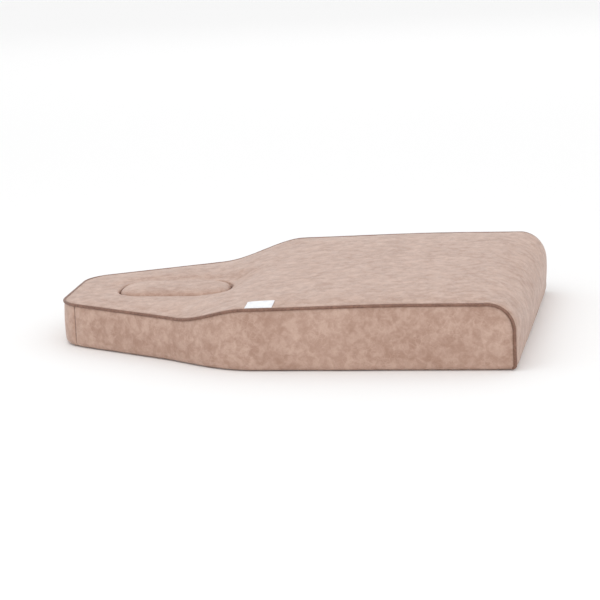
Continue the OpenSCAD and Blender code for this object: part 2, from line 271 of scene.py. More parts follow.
class PlanGrid:
    """Quads over the plan (or its inset copy), with holes ringed by their own quads."""

    def __init__(self, stations, width, offsets=EDGE_OFFSETS, pitch=6.2):
        rows, w = len(stations), width(stations)
        inner = int(2 * (w.max() - offsets[-1]) / pitch)
        inner += inner % 2
        cols = inner + 1 + 2 * (len(offsets) - 1)
        self.rows, self.cols = rows, cols
        grid = np.zeros((rows, cols, 2))
        t = np.linspace(-1, 1, inner + 1)
        for i, (s, wi) in enumerate(zip(stations, w)):
            k = min(1.0, wi * 0.55 / offsets[-1])
            off = offsets * k
            y = np.concatenate([-wi + off[:-1], t * (wi - off[-1]), (wi - off[:-1])[::-1]])
            grid[i] = np.column_stack([np.full(cols, s), y])
        self.grid = grid
        self.points = [grid.reshape(-1, 2)]
        self.count = rows * cols
        self.dead = np.zeros((rows - 1, cols - 1), bool)
        self.extra = []

    def hole(self, centre, distance, block, rings=12, power=1.7):
        """Opens the outline where distance is 0. block is the plan box that the ring of quads fills."""
        g = self.grid
        mid = int(np.argmin(np.abs(g[:, 0, 0] - centre[0])))
        i0 = int(np.searchsorted(g[:, 0, 0], block[0]))
        i1 = int(np.searchsorted(g[:, 0, 0], block[1]))
        j0 = int(np.argmin(np.abs(g[mid, :, 1] - block[2])))
        j1 = int(np.argmin(np.abs(g[mid, :, 1] - block[3])))
        self.dead[i0:i1, j0:j1] = True
        loop = ([(i0, j) for j in range(j0, j1 + 1)] + [(i, j1) for i in range(i0 + 1, i1 + 1)]
                + [(i1, j) for j in range(j1 - 1, j0 - 1, -1)] + [(i, j0) for i in range(i1 - 1, i0, -1)])
        ids = np.array([i * self.cols + j for i, j in loop])
        b = np.array([g[i, j] for i, j in loop])
        c = np.array(centre, float)
        lo, hi = np.zeros(len(b)), np.ones(len(b))
        for _ in range(40):
            m = (lo + hi) / 2
            q = c + (b - c) * m[:, None]
            inside = distance(q[:, 0], q[:, 1]) < 0
            lo, hi = np.where(inside, m, lo), np.where(inside, hi, m)
        o = c + (b - c) * ((lo + hi) / 2)[:, None]
        n, previous = len(ids), ids
        for r in range(rings - 1, -1, -1):
            f = (r / rings) ** power
            self.points.append(o + (b - o) * f)
            current = np.arange(self.count, self.count + n)
            self.count += n
            for k in range(n):
                m = (k + 1) % n
                self.extra.append((previous[k], previous[m], current[m], current[k]))
            previous = current

    def done(self):
        """The points in use and the faces between them."""
        f = []
        for i in range(self.rows - 1):
            for j in range(self.cols - 1):
                if not self.dead[i, j]:
                    a = i * self.cols + j
                    f.append((a, a + 1, a + 1 + self.cols, a + self.cols))
        f += self.extra
        p = np.vstack(self.points)
        used = np.zeros(len(p), bool)
        used[np.array(f).ravel()] = True
        where = np.cumsum(used) - 1
        return p[used], where[np.array(f)]


# ---------------------------------------------------------------- the swelling of the foam under the cover
SIM_FRAMES, SIM_PRESSURE = 20, 4.0


def simulate(name, nodes, voxel, pinned, limit):
    """Joins copies of the nodes, remeshes them, blows the skin up by cloth simulation, and returns
    the skin's points and how far each one went, held back softly to the limit."""
    obs = []
    for n in nodes:
        o = frame["nodes"][n].copy()
        o.data = o.data.copy()
        o.parent = None
        bpy.context.scene.collection.objects.link(o)
        obs.append(o)
    bpy.ops.object.select_all(action="DESELECT")
    for o in obs:
        o.select_set(True)
        o.hide_render = False
        o.hide_viewport = False
    bpy.context.view_layer.objects.active = obs[0]
    if len(obs) > 1:
        bpy.ops.object.join()
    ob = bpy.context.view_layer.objects.active
    ob.name = name
    m = ob.modifiers.new("remesh", "REMESH")
    m.mode, m.voxel_size = "VOXEL", voxel / 1000
    bpy.ops.object.modifier_apply(modifier=m.name)
    rest = read(ob.data.vertices, "co") * 1000
    group = ob.vertex_groups.new(name="held")
    group.add([int(i) for i in np.nonzero(pinned(rest))[0]], 1.0, "REPLACE")
    m = ob.modifiers.new("cloth", "CLOTH")
    c = m.settings
    c.mass, c.air_damping = 0.3, 1.0
    c.tension_stiffness = c.compression_stiffness = 22
    c.shear_stiffness, c.bending_stiffness = 8, 3.0
    c.use_pressure, c.uniform_pressure_force = True, SIM_PRESSURE
    c.vertex_group_mass = "held"
    c.effector_weights.gravity = 0
    c.quality = 5
    m.collision_settings.use_collision = False
    m.point_cache.frame_start, m.point_cache.frame_end = 1, SIM_FRAMES
    for f in range(1, SIM_FRAMES + 1):
        bpy.context.scene.frame_set(f)
    dg = bpy.context.evaluated_depsgraph_get()
    d = read(ob.evaluated_get(dg).data.vertices, "co") * 1000 - rest
    size = np.linalg.norm(d, axis=1)
    edges = np.zeros(len(ob.data.edges) * 2, int)
    ob.data.edges.foreach_get("vertices", edges)
    edges = edges.reshape(-1, 2)
    print(name, len(rest), "points; moved", round(float(size.mean()), 2), "mean",
          round(float(size.max()), 2), "most")
    d *= (limit * np.tanh(size / limit) / np.maximum(size, 1e-9))[:, None]
    degree = np.bincount(edges.ravel(), minlength=len(rest))[:, None]
    for _ in range(6):
        total = np.zeros_like(d)
        np.add.at(total, edges[:, 0], d[edges[:, 1]])
        np.add.at(total, edges[:, 1], d[edges[:, 0]])
        d = 0.5 * d + 0.5 * total / np.maximum(degree, 1)
    bpy.data.objects.remove(ob)
    bpy.context.scene.frame_set(1)
    return rest, d


class Swell:
    """The simulated movement, read at any point by weighting the nearest points of the skin."""

    def __init__(self, rest, moved):
        self.moved = moved
        self.tree = KDTree(len(rest))
        for i, p in enumerate(rest):
            self.tree.insert(Vector(p), i)
        self.tree.balance()

    def at(self, points, reach=9.0):
        out = np.zeros((len(points), 3))
        for i, p in enumerate(points):
            found = self.tree.find_n(Vector(p), 10)
            w = np.array([math.exp(-((f[2] / reach) ** 2) * 1.5) + 1e-9 for f in found])
            out[i] = (w[:, None] * self.moved[[f[1] for f in found]]).sum(0) / w.sum()
        return out


def pad_pins(p):
    """The skin is held at the bottom, along the seams and inside the opening."""
    s, y, z = p[:, 0] - TIP_X, p[:, 1], p[:, 2]
    over = s > ROLL_S
    edge = line_distance(np.column_stack([s, y]), seam_line())
    roll = BACK_H - ROLL_R + np.sqrt(np.clip(ROLL_R**2 - (s - ROLL_S) ** 2, 0, None))
    level = np.where(over, roll, top_z(s))
    at_seam = (edge < 7) & (np.abs(z - level) < 7)
    end_seam = (s > LENGTH - 6) & (np.abs(y) > HALF_W - 7)
    in_opening = (slot_distance(s, y) < 4) & (z < level - 9)
    return (z < 14) | at_seam | end_seam | in_opening


def plug_pins(p):
    return p[:, 2] < PLUG_TOP - 14


pad_swell = Swell(*simulate(
    "pad_core", ["foam_base", "foam_riser", "foam_comfort_layer", "edge_foam_strip", "base_board"],
    5.0, pad_pins, 5.5))
plug_swell = Swell(*simulate("plug_core", ["plug_foam", "plug_board"], 3.0, plug_pins, 3.2))


# ---------------------------------------------------------------- materials
class Nodes:
    """Short calls for building a material's node tree."""

    def __init__(self, name):
        self.material = bpy.data.materials.new(name)
        self.material.use_nodes = True
        self.tree = self.material.node_tree
        self.place = self.node("TexCoord", "Object")

    def join(self, socket, value):
        if isinstance(value, bpy.types.NodeSocket):
            self.tree.links.new(value, socket)
        else:
            socket.default_value = value

    def node(self, kind, output, inputs=None, **settings):
        """A new node with its settings and its inputs, by name or number. Gives one of its outputs."""
        n = self.tree.nodes.new("ShaderNode" + kind)
        for key, value in settings.items():
            setattr(n, key, value)
        for key, value in (inputs or {}).items():
            self.join(n.inputs[key], value)
        return n.outputs[output]

    def noise(self, scale, detail=3.0, rough=0.55, distortion=0.0, place=None):
        return self.node("TexNoise", "Fac", {"Vector": place or self.place, "Scale": scale, "Detail": detail,
                                             "Roughness": rough, "Distortion": distortion})

    def voronoi(self, scale, feature="F1", place=None, randomness=1.0):
        return self.node("TexVoronoi", "Distance", {"Vector": place or self.place, "Scale": scale,
                                                    "Randomness": randomness}, feature=feature)

    def math(self, operation, a, b=None, clamp=False):
        inputs = {0: a} if b is None else {0: a, 1: b}
        return self.node("Math", 0, inputs, operation=operation, use_clamp=clamp)

    def span(self, value, lo, hi, to_lo=0.0, to_hi=1.0):
        """A smooth ramp from to_lo to to_hi as value goes from lo to hi."""
        inputs = {"Value": value, "From Min": lo, "From Max": hi, "To Min": to_lo, "To Max": to_hi}
        return self.node("MapRange", "Result", inputs, interpolation_type="SMOOTHSTEP")

    def mix(self, factor, a, b):
        """A blend of two colours, which are inputs 6 and 7: their names also stand for other types."""
        return self.node("Mix", 2, {"Factor": factor, 6: a, 7: b}, data_type="RGBA")

    def bump(self, height, distance, strength=1.0, normal=None):
        inputs = {"Height": height, "Distance": distance, "Strength": strength}
        if normal is not None:
            inputs["Normal"] = normal
        return self.node("Bump", "Normal", inputs)

    def moved(self, amount, scale):
        """The place, pushed about by noise, for veins that wander."""
        drift = self.node("TexNoise", "Color", {"Vector": self.place, "Scale": scale, "Detail": 2.0})
        centred = self.node("VectorMath", 0, {0: drift, 1: (0.5, 0.5, 0.5)}, operation="SUBTRACT")
        scaled = self.node("VectorMath", 0, {0: centred, "Scale": amount}, operation="SCALE")
        return self.node("VectorMath", 0, {0: self.place, 1: scaled}, operation="ADD")

    def stretched(self, factors):
        return self.node("VectorMath", 0, {0: self.place, 1: factors}, operation="MULTIPLY")

    def shade(self, **values):
        shader = self.tree.nodes["Principled BSDF"]
        for key, value in values.items():
            self.join(shader.inputs[key.replace("_", " ")], value)
        return self.material


def srgb(r, g, b):
    """A colour given in 0 to 255, as linear values."""
    def channel(v):
        v /= 255
        return v / 12.92 if v <= 0.04045 else ((v + 0.055) / 1.055) ** 2.4
    return (channel(r), channel(g), channel(b), 1.0)


TAN, TAN_LIGHT, TAN_DARK = srgb(180, 147, 131), srgb(199, 169, 153), srgb(159, 124, 106)


def faux_leather(name):
    """Marbled leatherette: clouds and blotches of two tones, a net of fine pale veins, a pebbled grain with
    painted shade in its pits.
    """
    n = Nodes(name)
    clouds = n.span(n.noise(19, 3, 0.5, 0.4), 0.36, 0.66)
    blotches = n.span(n.noise(70, 5, 0.6, 0.5), 0.35, 0.67)
    specks = n.span(n.noise(250, 3, 0.6, 0.5), 0.35, 0.7)
    wander = n.moved(0.012, 60)
    veins = n.span(n.voronoi(105, "DISTANCE_TO_EDGE", wander), 0.0, 0.085, 1.0, 0.0)
    vein_mask = n.span(n.noise(30, 2, 0.5), 0.47, 0.62)
    veins = n.math("MULTIPLY", veins, vein_mask)
    tone = n.math("ADD", n.math("MULTIPLY", blotches, 0.55), n.math("MULTIPLY", clouds, 0.25))
    tone = n.math("ADD", tone, n.math("MULTIPLY", specks, 0.2), clamp=True)
    colour = n.mix(0.12, n.mix(tone, TAN_DARK, TAN_LIGHT), TAN)
    colour = n.mix(n.math("MULTIPLY", veins, 0.4), colour, TAN_LIGHT)
    cells = n.voronoi(820, "F1", n.moved(0.0012, 900))
    pebbles = n.math("SUBTRACT", 1.0, n.math("MULTIPLY", cells, 1.4), clamp=True)
    pits = n.span(cells, 0.55, 0.95)
    # the grain's pits, the low places of its bump, are painted darker: painted shade
    colour = n.mix(n.math("MULTIPLY", pits, 0.16), colour, TAN_DARK)
    fine = n.noise(2600, 2, 0.6)
    creases = n.span(n.voronoi(210, "DISTANCE_TO_EDGE", n.moved(0.004, 240)), 0.0, 0.09, 0.0, 1.0)
    height = n.math("ADD", n.math("MULTIPLY", pebbles, 0.8), n.math("MULTIPLY", fine, 0.25))
    height = n.math("ADD", height, n.math("MULTIPLY", creases, 0.55))
    normal = n.bump(height, 0.00022, 0.55)
    normal = n.bump(n.noise(38, 3, 0.5, 0.6), 0.0011, 0.5, normal)
    rough = n.span(n.noise(64, 4, 0.6), 0.3, 0.7, 0.40, 0.54)
    rough = n.math("ADD", rough, n.math("MULTIPLY", pits, 0.08))
    return n.shade(Base_Color=colour, Roughness=rough, Normal=normal, Specular_IOR_Level=0.5,
                   Sheen_Weight=0.06, Sheen_Roughness=0.4, Coat_Weight=0.08, Coat_Roughness=0.38)


def piping_leather():
    """Leatherette pulled tight over a cord, rubbed paler in places; its deep brown is partly its own tone and
    partly painted shade of the seam's groove.
    """
    n = Nodes("piping")
    streak = n.span(n.noise(300, 4, 0.6, 0.8), 0.3, 0.7)
    worn = n.span(n.noise(55, 3, 0.6), 0.45, 0.75)
    # deep brown, well under the cover's tan: partly the piping's own tone, partly painted shade of the groove
    # along the seam
    colour = n.mix(streak, srgb(104, 72, 58), srgb(134, 97, 80))
    colour = n.mix(n.math("MULTIPLY", worn, 0.35), colour, srgb(158, 120, 102))
    cells = n.voronoi(1100, "F1")
    normal = n.bump(n.math("ADD", n.math("MULTIPLY", cells, -1.0), n.noise(2400, 2)), 0.00015, 0.6)
    return n.shade(Base_Color=colour, Roughness=n.span(n.noise(240, 3), 0.3, 0.7, 0.38, 0.52), Normal=normal,
                   Specular_IOR_Level=0.5)


def plywood():
    """Birch ply: long figure on the faces, thin plies along the edges."""
    n = Nodes("plywood")
    figure = n.noise(22, 6, 0.6, 2.2, place=n.stretched((0.12, 1.0, 1.0)))
    pores = n.span(n.noise(420, 3, 0.6, place=n.stretched((0.05, 1.0, 1.0))), 0.58, 0.7)
    colour = n.mix(n.span(figure, 0.3, 0.7), srgb(198, 160, 112), srgb(224, 192, 148))
    colour = n.mix(n.math("MULTIPLY", pores, 0.5), colour, srgb(140, 100, 62))
    ply = n.span(n.math("PINGPONG", n.node("SeparateXYZ", "Z", {0: n.place}), 0.0015), 0.0005, 0.001)
    up = n.node("SeparateXYZ", "Z", {0: n.node("NewGeometry", "Normal")})
    edge = n.math("LESS_THAN", n.math("ABSOLUTE", up), 0.5)
    colour = n.mix(n.math("MULTIPLY", n.math("MULTIPLY", ply, edge), 0.6), colour, srgb(128, 88, 56))
    return n.shade(Base_Color=colour, Roughness=n.span(figure, 0.2, 0.8, 0.5, 0.68),
                   Normal=n.bump(n.math("SUBTRACT", figure, n.math("MULTIPLY", pores, 0.6)), 0.0003, 0.6))


def foam(name, base, pore_shade, scale):
    """Open-cell foam: a fine net of pores, painted deeper in the holes as painted shade."""
    n = Nodes(name)
    pores = n.voronoi(scale, "F1", n.moved(0.0009, scale * 1.3))
    hole = n.span(pores, 0.12, 0.42, 1.0, 0.0)
    colour = n.mix(n.span(n.noise(20, 3), 0.35, 0.7), base, tuple(0.86 * v for v in base[:3]) + (1.0,))
    # the pores take the third colour given: painted shade in the holes
    colour = n.mix(n.math("MULTIPLY", hole, 0.55), colour, pore_shade)
    return n.shade(Base_Color=colour, Roughness=n.span(n.noise(300, 2), 0.3, 0.7, 0.86, 0.96),
                   Normal=n.bump(n.math("SUBTRACT", 1.0, hole), 0.0006, 0.8), Sheen_Weight=0.15)


def non_woven():
    """Black spun-bonded cloth, embossed with a close grid of small points, with fibres between them."""
    n = Nodes("non_woven")
    points = n.span(n.voronoi(560, "F1", randomness=0.12), 0.16, 0.34, 1.0, 0.0)
    fibres = n.noise(900, 4, 0.7, 2.5)
    colour = n.mix(n.span(fibres, 0.3, 0.7), srgb(38, 37, 38), srgb(62, 60, 60))
    colour = n.mix(n.math("MULTIPLY", points, 0.7), colour, srgb(26, 26, 27))
    height = n.math("SUBTRACT", n.math("MULTIPLY", fibres, 0.6), points)
    return n.shade(Base_Color=colour, Roughness=n.math("SUBTRACT", 0.88, n.math("MULTIPLY", points, 0.3)),
                   Normal=n.bump(height, 0.00025, 0.7), Sheen_Weight=0.2, Sheen_Roughness=0.5)


def zinc():
    """Zinc-plated steel."""
    n = Nodes("zinc_steel")
    spangle = n.noise(260, 4, 0.6)
    colour = n.mix(n.span(spangle, 0.3, 0.7), srgb(168, 170, 172), srgb(206, 207, 208))
    return n.shade(Base_Color=colour, Metallic=1.0, Roughness=n.span(n.noise(700, 3), 0.3, 0.7, 0.26, 0.44),
                   Normal=n.bump(n.noise(1800, 3), 0.00006, 0.5))


def woven_label():
    """White woven tape: warp and weft threads."""
    n = Nodes("label")
    warp, weft = (n.node("SeparateXYZ", axis, {0: n.place}) for axis in "XY")
    warp = n.math("ABSOLUTE", n.math("SINE", n.math("MULTIPLY", warp, 6800.0)))
    weft = n.math("ABSOLUTE", n.math("SINE", n.math("MULTIPLY", weft, 9400.0)))
    height = n.math("MULTIPLY", warp, weft)
    soil = n.span(n.noise(120, 3), 0.35, 0.75)
    colour = n.mix(soil, srgb(246, 247, 250), srgb(232, 233, 238))
    # the low places of the weave, between the threads, are painted greyer: painted shade
    colour = n.mix(n.math("MULTIPLY", n.math("SUBTRACT", 1.0, height), 0.12), colour, srgb(196, 200, 212))
    return n.shade(Base_Color=colour, Roughness=n.span(height, 0.0, 1.0, 0.7, 0.56),
                   Normal=n.bump(height, 0.00012, 0.5), Sheen_Weight=0.1)


cover_top, cover_side = faux_leather("cover_top"), faux_leather("cover_side")
piping_mat = piping_leather()
plywood_mat = plywood()
# the third colour of each foam is the painted shade of its pores
firm_foam = foam("firm_foam", srgb(205, 214, 222), srgb(120, 130, 140), 620)
soft_foam = foam("soft_foam", srgb(238, 228, 196), srgb(168, 152, 112), 820)
non_woven_mat = non_woven()
zinc_mat = zinc()
label_mat = woven_label()

for node_name, material in (("base_board", plywood_mat), ("plug_board", plywood_mat),
                            ("tee_nuts", zinc_mat), ("cover_staples", zinc_mat),
                            ("dust_cover_staples", zinc_mat), ("plug_staples", zinc_mat)):
    data = frame["nodes"][node_name].data
    data.materials.clear()
    data.materials.append(material)


# ---------------------------------------------------------------- the top panel
ROLL_LEN = ROLL_R * math.pi / 2
DROP_LEN = BACK_H - ROLL_R - BOTTOM_R - DUST_T
UNDER_LEN = BOTTOM_R * math.pi / 2
FLANGE_LEN = RETURN_W - BOTTOM_R
A1 = ROLL_S + ROLL_LEN
A2 = A1 + DROP_LEN
A3 = A2 + UNDER_LEN
SEAM_RISE, SEAM_LEAD = 0.5, 2.3     # the cover's height at the seam, and how much more it gains over the foam
RIM_R = 4.6                         # the cover's rounding into the face opening


def profile(a):
    """The cover's outer face at a distance a along it from the head end, and its normal: x, z, nx, nz."""
    a = np.asarray(a, float)
    slope = top_z(a + 0.5) - top_z(a - 0.5)
    n = np.hypot(1, slope)
    x, z, nx, nz = TIP_X + a, top_z(a), -slope / n, 1 / n
    f = np.clip((a - ROLL_S) / ROLL_R, 0, math.pi / 2)
    on = a > ROLL_S
    x = np.where(on, TIP_X + ROLL_S + ROLL_R * np.sin(f), x)
    z = np.where(on, BACK_H - ROLL_R + ROLL_R * np.cos(f), z)
    nx, nz = np.where(on, np.sin(f), nx), np.where(on, np.cos(f), nz)
    z = np.where(a > A1, BACK_H - ROLL_R - (a - A1), z)
    g = np.clip((a - A2) / BOTTOM_R, 0, math.pi / 2)
    on = a > A2
    x = np.where(on, HINGE_X - BOTTOM_R * (1 - np.cos(g)), x)
    z = np.where(on, DUST_T + BOTTOM_R * (1 - np.sin(g)), z)
    nx, nz = np.where(on, np.cos(g), nx), np.where(on, -np.sin(g), nz)
    x = np.where(a > A3, HINGE_X - BOTTOM_R - (a - A3), x)
    z = np.where(a > A3, DUST_T, z)
    return x, z, nx, nz


def top_width(a):
    """Half the panel's width; it narrows, mitred, where the corner of the bottom edge is turned under."""
    a = np.asarray(a, float)
    g = np.clip((a - A2) / BOTTOM_R, 0, math.pi / 2)
    w = np.where(a > A2, HALF_W - BOTTOM_R * (1 - np.cos(g)), half_width(np.minimum(a, LENGTH)))
    return w - np.clip(a - A3, 0, None)


def edge_roll(edge):
    """Height of the cover's rolled edge above the seam."""
    return SEAM_RISE + SEAM_LEAD * (1 - np.exp(-edge / 2.4))


stations = np.unique(np.round(np.concatenate([
    [0, 0.6, 1.3, 2.2, 3.3, 4.6, 6.2, 8, 10.2, 12.8, 15.8, 19, 22.6, 26.4, 30.5],
    np.arange(35, ROLL_S - 2, 4.6), ROLL_S + np.linspace(0, ROLL_LEN, 17), A1 + np.linspace(0, DROP_LEN, 12),
    A2 + np.linspace(0, UNDER_LEN, 7), A3 + np.linspace(0, FLANGE_LEN, 8)[1:]]), 3))
grid = PlanGrid(stations, top_width)
grid.hole((OPEN_S, 0.0), lambda s, y: slot_distance(s, y),
          (OPEN_S - OPEN_L / 2 - 22, OPEN_S + OPEN_L / 2 + 22, -OPEN_W / 2 - 34, OPEN_W / 2 + 34), rings=14)
ay, faces = grid.done()
a, y = ay[:, 0], ay[:, 1]
edge = line_distance(ay, seam_line())
edge = np.where(a > A2, np.maximum(top_width(a) - np.abs(y), 0), edge)
rim = slot_distance(a, y)
x, z, nx, nz = profile(a)
drawn = dip(np.minimum(a, 500), y) * (a < 500)
low = smooth((a - A1) / (DROP_LEN + UNDER_LEN))
flat = np.where(a > A2, np.clip(1 - (a - A2) / UNDER_LEN, 0, 1), 1.0)
h = edge_roll(edge) * flat * (1 - 0.45 * low)
puckers = noise(ay, 11, 3) * 0.45 + noise(ay, 26, 4) * 0.5
h += puckers * np.exp(-edge / 9) * flat * np.clip(edge / 2.5, 0, 1)
h += 0.55 * noise(ay * (0.6, 1.0), 95, 5) * smooth(edge / 60) * flat
end_bulge = smooth((a - ROLL_S) / 40) * flat * (1 - np.exp(-edge / 14))
h += 3.4 * end_bulge * (1 - 0.5 * low)
open_mask = smooth((rim - 4) / 30)
if pad_swell is None:
    h += 5.0 * (1 - np.exp(-edge / 60)) * open_mask * flat
rim_arc = np.sqrt(np.clip(RIM_R**2 - (RIM_R - np.clip(rim, 0, RIM_R)) ** 2, 0, None))
h -= np.where(rim < RIM_R, RIM_R - rim_arc, 0)
h += 0.35 * noise(ay, 14, 6) * np.exp(-rim / 10) - 0.9 * np.exp(-np.clip(rim, 0, None) / 22)
verts = np.column_stack([x + h * nx, y, z + h * nz - drawn])
if pad_swell is not None:
    mask = smooth((edge - 2) / 22) * (0.25 + 0.75 * open_mask) * flat
    verts += pad_swell.at(np.column_stack([x, y, z])) * mask[:, None]
verts[:, 2] = np.where(a > A3 - 0.01, DUST_T, np.maximum(verts[:, 2], DUST_T + 0.1))
rim_edge = verts[np.abs(rim) < 0.05]


top_cover = make("top_cover", verts, faces, cover_top,
                 lambda c: np.column_stack([np.zeros((len(c), 2)), np.where(c[:, 2] > 20, 1.0, 0.0)]))
skin(top_cover)
finish_piece(top_cover, "pad", ["top_panel"])


# ---------------------------------------------------------------- the panels round the edge
def outline_at(u):
    """Point, normal and cover height at a distance u along the left half's outline."""
    p = np.column_stack([np.interp(u, outline_u, outline_p[:, k]) for k in (0, 1)])
    n = np.column_stack([np.interp(u, outline_u, outline_n[:, k]) for k in (0, 1)])
    n /= np.linalg.norm(n, axis=1)[:, None]
    return p, n


SEAM_ANGLE = math.acos(CORNER_SEAM / CORNER_R - 1)
seam_xy = np.array([CORNER_R + CORNER_R * math.cos(SEAM_ANGLE), CORNER_Y + CORNER_R * math.sin(SEAM_ANGLE)])
SEAM_U = float(outline_u[int(np.argmin(np.linalg.norm(outline_p - seam_xy, axis=1)))])
TOTAL_U = float(outline_u[-1])
UNDER_PIPE = 1.5                    # how far a wall panel's upper edge is below the piping's middle
SHIFT_FROM = 600.0                  # from here on, the walls draw in so as to end under the piping


def wall_top(s):
    """Upper edge of the wall panels, just under the piping."""
    r = ROLL_R - UNDER_PIPE
    arc = BACK_H - ROLL_R + np.sqrt(np.clip(r * r - (s - ROLL_S) ** 2, 0, None))
    return np.where(s > ROLL_S, arc, top_z(s) - UNDER_PIPE)


WALL_V = np.concatenate([[0, 0.02, 0.045, 0.075, 0.11, 0.155], np.linspace(0.21, 1, 17)])
ROUND_V = np.radians(np.linspace(0, 90, 7)[1:])
FLANGE_V = np.linspace(0, 1, 9)[1:]


def boxing(name, us, side, ends, replaced, most):
    """A wall panel along the outline from us[0] to us[-1], turned under at the foot. side is 1 for left and
    -1 for right, ends are the two u values of its sewn ends, and most is how far its middle stands out."""
    p, n = outline_at(np.abs(us))
    p[:, 1] *= np.where(us < 0, -1, 1) * side
    n[:, 1] *= np.where(us < 0, -1, 1) * side
    s = p[:, 0]
    zt = wall_top(s)
    layers, foot = [], DUST_T + BOTTOM_R
    end_s = LENGTH - UNDER_PIPE
    seam_curve = np.column_stack([us, zt])
    end_edge = np.full(len(us), 1e3)
    for e in ends:
        end_edge = np.minimum(end_edge, np.abs(us - e))

    def place(off, zz, shrink=0.0):
        share = (end_s - shrink - SHIFT_FROM) / (LENGTH - SHIFT_FROM)
        sp = np.where(s > SHIFT_FROM, SHIFT_FROM + (s - SHIFT_FROM) * share, s)
        return placed(np.column_stack([sp + off * n[:, 0], p[:, 1] + off * n[:, 1]]), zz)

    for v in WALL_V:
        zz = zt + (foot - zt) * v
        below = np.minimum(line_distance(np.column_stack([us, zz]), seam_curve), zt - zz + 1e-6)
        both = np.minimum(below, end_edge)
        lip = (1 - np.exp(-below / 2.2)) * (1 - np.exp(-end_edge / 2.2))
        fat = most * np.sin(math.pi * (0.04 + 0.9 * v)) ** 0.9 * (1 - np.exp(-both / 16))
        off = 0.3 + 1.5 * lip + fat - 0.9 * np.exp(-end_edge / 1.5)
        q = np.column_stack([us, zz])
        puckered = 0.35 * noise(q, 13, 11) + 0.3 * noise(q, 30, 12)
        off += puckered * np.exp(-both / 12) * np.clip(both / 3, 0, 1)
        off += 0.7 * noise(q * (1.0, 0.7), 70, 13) * np.clip(both / 25, 0, 1)
        if pad_swell is not None:
            d = pad_swell.at(place(np.zeros(len(us)), zz))
            out = d[:, 0] * n[:, 0] + d[:, 1] * n[:, 1]
            out = out * np.clip((both - 2) / 14, 0, 1) * np.clip((1 - v) * 4, 0, 1)
            off = off + np.clip(out, -2, 3.5)
        layers.append(place(off, zz))
    for f in ROUND_V:
        back = BOTTOM_R * (1 - math.cos(f))
        layers.append(place(off - back, foot - BOTTOM_R * math.sin(f), back))
    start = off - BOTTOM_R
    for f in FLANGE_V:
        layers.append(place(start + (-RETURN_W - start) * f, DUST_T, BOTTOM_R + FLANGE_LEN * f))
    ob = make(name, np.vstack(layers), grid_faces(len(layers), len(us)), cover_side, down_under(2))
    skin(ob)
    finish_piece(ob, "pad", replaced)


side_us = SEAM_U + np.concatenate([[0.35, 1, 2, 3.3, 5, 7.5, 10.5],
                                   np.arange(14.5, TOTAL_U - SEAM_U - 46, 5.2)])
last = TOTAL_U - ROLL_R * (1 - np.sin(np.radians(np.linspace(-8, 90, 15))))
side_us = np.concatenate([side_us[side_us < last[0] - 1], last])
boxing("side_cover_left", side_us, 1, [SEAM_U, TOTAL_U], ["side_panel_left"], 2.6)
boxing("side_cover_right", side_us, -1, [SEAM_U, TOTAL_U], ["side_panel_right"], 2.6)
inner = np.arange(-SEAM_U + 12, SEAM_U - 11, 4.6)
edge_us = np.array([0.35, 1, 2, 3.3, 5, 7.5])
head_us = np.concatenate([-SEAM_U + edge_us, inner + (-(inner[0] + inner[-1]) / 2), (SEAM_U - edge_us)[::-1]])
boxing("head_end_cover", head_us, 1, [-SEAM_U, SEAM_U], ["head_end_panel"], 1.4)


# ---------------------------------------------------------------- piping
def tube(name, path, normals, radius, material, sides=14):
    """A round cord swept along a path, a little uneven, with a pointed cap on each end."""
    n = len(path)
    along = np.gradient(path, axis=0)
    along /= np.linalg.norm(along, axis=1)[:, None]
    across = normals - (normals * along).sum(1)[:, None] * along
    across /= np.linalg.norm(across, axis=1)[:, None]
    up = np.cross(along, across)
    angles = np.arange(sides) * 2 * math.pi / sides
    run = np.concatenate([[0], np.cumsum(np.linalg.norm(np.diff(path, axis=0), axis=1))])
    r = radius * (1 + 0.035 * noise(np.column_stack([run, np.zeros(n)]), 9, 21))
    cos, sin = np.cos(angles)[:, None], np.sin(angles)[:, None]
    verts = np.vstack([path[i] + r[i] * (cos * across[i] + sin * up[i]) for i in range(n)])
    faces = grid_faces(n, sides, wrap=True)
    for i, sign in ((0, -1), (n - 1, 1)):
        tip = path[i] + sign * along[i] * radius * 0.7
        k = len(verts)
        verts = np.vstack([verts, tip])
        for j in range(sides):
            m = (j + 1) % sides
            ring = (i * sides + j, i * sides + m, k)
            faces.append(ring if sign > 0 else ring[::-1])
    return make(name, verts, faces, material)


keep = outline_p[:, 0] < ROLL_S - 1
path_p = [placed(outline_p[keep] + PIPE_OUT * outline_n[keep], top_z(outline_p[keep, 0]))]
path_n = [np.column_stack([outline_n[keep], np.zeros(keep.sum())])]
down = np.concatenate([np.arange(ROLL_S, A1, 3.5), np.arange(A1, A2 + 1, 5)])
px, pz, _, _ = profile(down)
path_p.append(np.column_stack([px, np.full(len(px), HALF_W + PIPE_OUT), pz]))
path_n.append(np.tile((0.0, 1.0, 0.0), (len(px), 1)))
f = np.radians([20, 40, 60, 75])        # its end tucks in under the bottom corner
back = 7 * (1 - np.cos(f))
path_p.append(np.column_stack([HINGE_X - back, HALF_W + PIPE_OUT - back, 9.8 - 6.6 * np.sin(f)]))
path_n.append(np.tile((0.0, 1.0, 0.0), (len(f), 1)))
left_path, left_n = np.vstack(path_p), np.vstack(path_n)
right_path, right_n = left_path[:0:-1] * (1, -1, 1), left_n[:0:-1] * (1, -1, 1)
piping = tube("piping", np.vstack([right_path, left_path]), np.vstack([right_n, left_n]), PIPE_R, piping_mat)
finish_piece(piping, "pad", ["seam_piping"])


